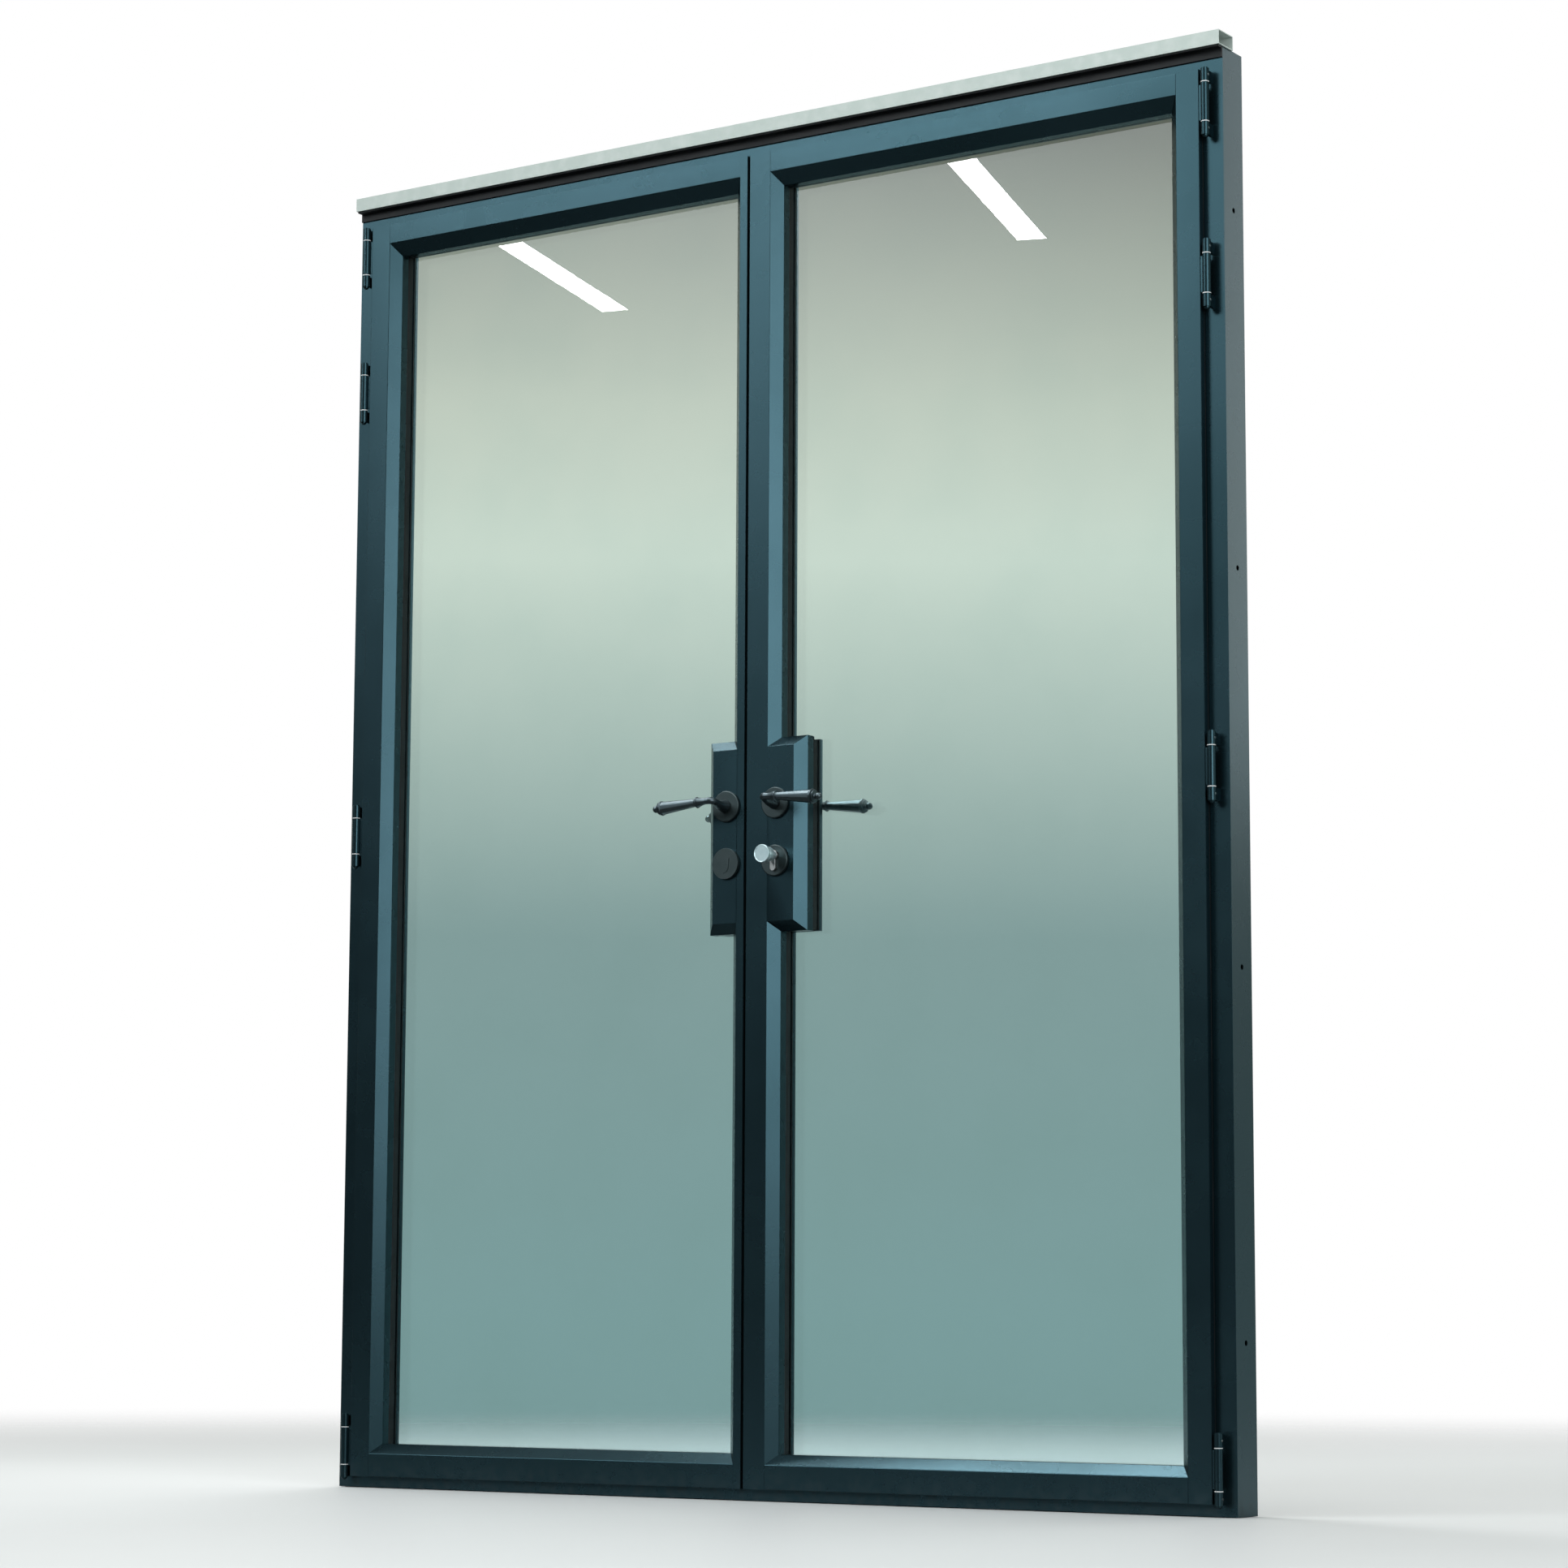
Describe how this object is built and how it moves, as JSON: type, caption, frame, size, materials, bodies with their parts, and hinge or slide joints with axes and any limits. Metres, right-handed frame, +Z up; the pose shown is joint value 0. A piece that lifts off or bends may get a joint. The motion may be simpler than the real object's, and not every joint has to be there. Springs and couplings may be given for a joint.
{
  "type": "french doors",
  "caption": "Double-leaf glazed metal doors in a slim frame, with barrel hinges, lock boxes, lever handles, latch, deadbolt and shoot bolts.",
  "frame": {"origin": "middle of the sill's underside: centre of the width and of the frame's depth", "axes": "+Z up, +X to the right seen from the front, +Y through the doorway to the back; the leaves open towards -Y"},
  "size_m": [1.7, 0.174, 2.2269],
  "materials": {
    "coat": "fine-textured dark slate blue powder coat, satin",
    "rubber": "black extruded rubber",
    "trim": "light grey-green matt coat",
    "steel": "plain zinc-plated steel",
    "washer": "white nylon",
    "black_plastic": "dark moulded plastic",
    "satin_nickel": "satin nickel",
    "black_nickel": "black nickel, polished",
    "dark_satin": "dark grey satin plating",
    "glass": "clear float glass with a faint green edge"
  },
  "bodies": {
    "frame": {"frame_jamb_left": "coat", "frame_jamb_right": "coat", "frame_head": "coat", "frame_sill": "coat", "frame_corner_cleats": "steel", "frame_seal": "rubber", "head_joint_strip": "rubber", "head_trim": "trim", "head_trim_screws": "steel", "frame_hinge_knuckles": "coat", "hinge_pins": "steel", "hinge_washers": "washer", "hinge_grub_screws": "steel", "shoot_bolt_keeps": "steel"},
    "left_leaf": {"left_hinge_stile": "coat", "left_meeting_stile": "coat", "left_top_rail": "coat", "left_bottom_rail": "coat", "left_lock_box": "coat", "left_outer_pane": "glass", "left_inner_pane": "glass", "left_glass_spacer": "black_plastic", "left_glazing_beads": "coat", "left_glazing_gaskets": "rubber", "left_setting_blocks": "black_plastic", "left_hinge_knuckles": "coat", "left_gear_case": "steel", "left_strike_plate": "satin_nickel", "left_roses": "dark_satin", "left_escutcheons": "dark_satin", "left_blank_plugs": "dark_satin"},
    "right_leaf": {"right_hinge_stile": "coat", "right_meeting_stile": "coat", "right_top_rail": "coat", "right_bottom_rail": "coat", "right_lock_box": "coat", "right_outer_pane": "glass", "right_inner_pane": "glass", "right_glass_spacer": "black_plastic", "right_glazing_beads": "coat", "right_glazing_gaskets": "rubber", "right_setting_blocks": "black_plastic", "right_hinge_knuckles": "coat", "right_lock_case": "steel", "right_faceplate": "satin_nickel", "right_meeting_seal": "rubber", "right_roses": "dark_satin", "right_escutcheons": "dark_satin", "right_cylinder": "satin_nickel"},
    "left_lever": {"left_front_lever": "black_nickel", "left_rear_lever": "black_nickel", "left_spindle": "steel"},
    "right_lever": {"right_front_lever": "black_nickel", "right_rear_lever": "black_nickel", "right_spindle": "steel"},
    "top_bolt": {"left_top_bolt": "steel"},
    "bottom_bolt": {"left_bottom_bolt": "steel"},
    "latch": {"right_latch": "satin_nickel"},
    "deadbolt": {"right_deadbolt": "satin_nickel"},
    "thumb_turn": {"thumb_turn": "satin_nickel"}
  },
  "joints": [
    {"name": "left_leaf_swing", "type": "hinge", "parent": "frame", "child": "left_leaf", "pos_m": [-0.8252, -0.046, 0], "axis": [0, 0, -1], "range_deg": [0, 110]},
    {"name": "right_leaf_swing", "type": "hinge", "parent": "frame", "child": "right_leaf", "pos_m": [0.8252, -0.046, 0], "axis": [0, 0, 1], "range_deg": [0, 110]},
    {"name": "left_lever_lift", "type": "hinge", "parent": "left_leaf", "child": "left_lever", "pos_m": [-0.05155, 0, 1.0965], "axis": [0, 1, 0], "range_deg": [0, 45]},
    {"name": "top_bolt_slide", "type": "slide", "parent": "left_leaf", "child": "top_bolt", "axis": [0, 0, 1], "range_m": [0, 0.009]},
    {"name": "bottom_bolt_slide", "type": "slide", "parent": "left_leaf", "child": "bottom_bolt", "axis": [0, 0, -1], "range_m": [0, 0.009]},
    {"name": "right_lever_press", "type": "hinge", "parent": "right_leaf", "child": "right_lever", "pos_m": [0.04325, 0, 1.0965], "axis": [0, 1, 0], "range_deg": [0, 45], "stiffness_Nm_per_rad": 1.2, "springref_deg": -28.65},
    {"name": "latch_slide", "type": "slide", "parent": "right_leaf", "child": "latch", "axis": [-1, 0, 0], "range_m": [0, 0.011]},
    {"name": "thumb_turn_spin", "type": "hinge", "parent": "right_leaf", "child": "thumb_turn", "pos_m": [0.04325, 0, 1.0115], "axis": [0, 1, 0], "range_deg": [0, 360]},
    {"name": "deadbolt_slide", "type": "slide", "parent": "right_leaf", "child": "deadbolt", "axis": [-1, 0, 0], "range_m": [0, 0.02]}
  ],
  "couplings": [
    {"joint": "top_bolt_slide", "follows": "left_lever_lift", "m_per_rad": 0.011458},
    {"joint": "bottom_bolt_slide", "follows": "left_lever_lift", "m_per_rad": 0.011458},
    {"joint": "thumb_turn_spin", "follows": "deadbolt_slide", "rad_per_m": 314}
  ]
}
